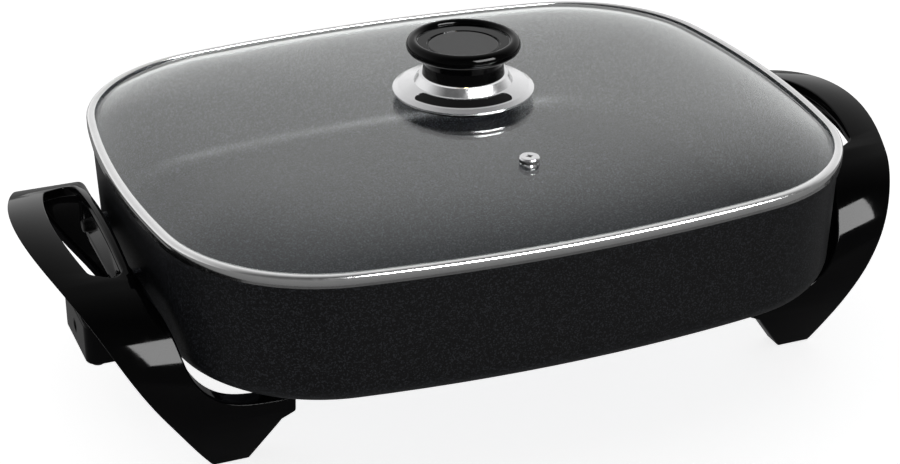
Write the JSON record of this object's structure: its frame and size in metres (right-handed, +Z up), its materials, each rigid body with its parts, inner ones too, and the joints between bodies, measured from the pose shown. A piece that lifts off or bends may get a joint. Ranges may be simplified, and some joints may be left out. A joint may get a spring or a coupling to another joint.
{
  "type": "electric skillet",
  "caption": "Rectangular electric skillet with a deep coated pan, arched handles that form its feet, a lift-off domed glass lid with knob and vent, and a plug-in heat control with dial.",
  "frame": {"origin": "on the table, under the middle of the pan, level with the bottoms of the four feet", "axes": "+Z up, X along the two handles with the heat control at -X, Y from front to back"},
  "size_m": [0.5332, 0.3458, 0.1864],
  "materials": {
    "nonstick_coating": "fine speckled non-stick coating on cast aluminium, satin",
    "element_steel": "drawn sheath",
    "pin_metal": "plated pin",
    "ceramic": "unglazed insulator",
    "guard_steel": "folded sheet",
    "fastener_steel": "zinc plated",
    "handle_plastic": "gloss black phenolic",
    "control_plastic": "gloss black phenolic",
    "brass_parts": "turned",
    "lens_red": "clear red lens",
    "soft_black": "silicone",
    "lid_glass": "clear tempered glass",
    "rim_steel": "polished stainless steel",
    "chrome_parts": "polished",
    "matte_disc": "satin black"
  },
  "bodies": {
    "base": {"pan": "nonstick_coating", "heating_element": "element_steel", "terminal_pins": "pin_metal", "terminal_bushes": "ceramic", "pin_guard": "guard_steel", "guard_rivets": "fastener_steel", "right_handle": "handle_plastic", "left_handle": "handle_plastic", "right_grip_screws": "fastener_steel", "left_grip_screws": "fastener_steel", "right_leg_screws": "fastener_steel", "left_leg_screws": "fastener_steel"},
    "lid": {"lid_glass": "lid_glass", "lid_rim": "rim_steel", "vent_gasket": "soft_black", "vent_grommet": "chrome_parts", "vent_collar": "chrome_parts", "knob_washer": "soft_black", "knob_base": "handle_plastic", "knob_flange": "chrome_parts", "knob_neck": "handle_plastic", "knob_insert": "brass_parts", "knob_cap": "handle_plastic", "knob_centre_disc": "matte_disc", "inner_washer": "fastener_steel", "knob_screw": "fastener_steel"},
    "control": {"control_upper_shell": "control_plastic", "control_lower_shell": "control_plastic", "control_screws": "fastener_steel", "thermostat_block": "ceramic", "probe_rod": "element_steel", "contact_sleeves": "brass_parts", "pilot_lens": "lens_red", "cord_gland": "soft_black"},
    "dial": {"control_dial": "control_plastic"}
  },
  "joints": [
    {"name": "lid_lift", "type": "slide", "parent": "base", "child": "lid", "axis": [0, 0, 1], "range_m": [0, 0.15]},
    {"name": "control_unplug", "type": "slide", "parent": "base", "child": "control", "axis": [-1, 0, 0], "range_m": [0, 0.09]},
    {"name": "dial_turn", "type": "hinge", "parent": "control", "child": "dial", "pos_m": [-0.221, 0, 0.057], "axis": [0, 0, 1], "range_deg": [0, 270]}
  ]
}
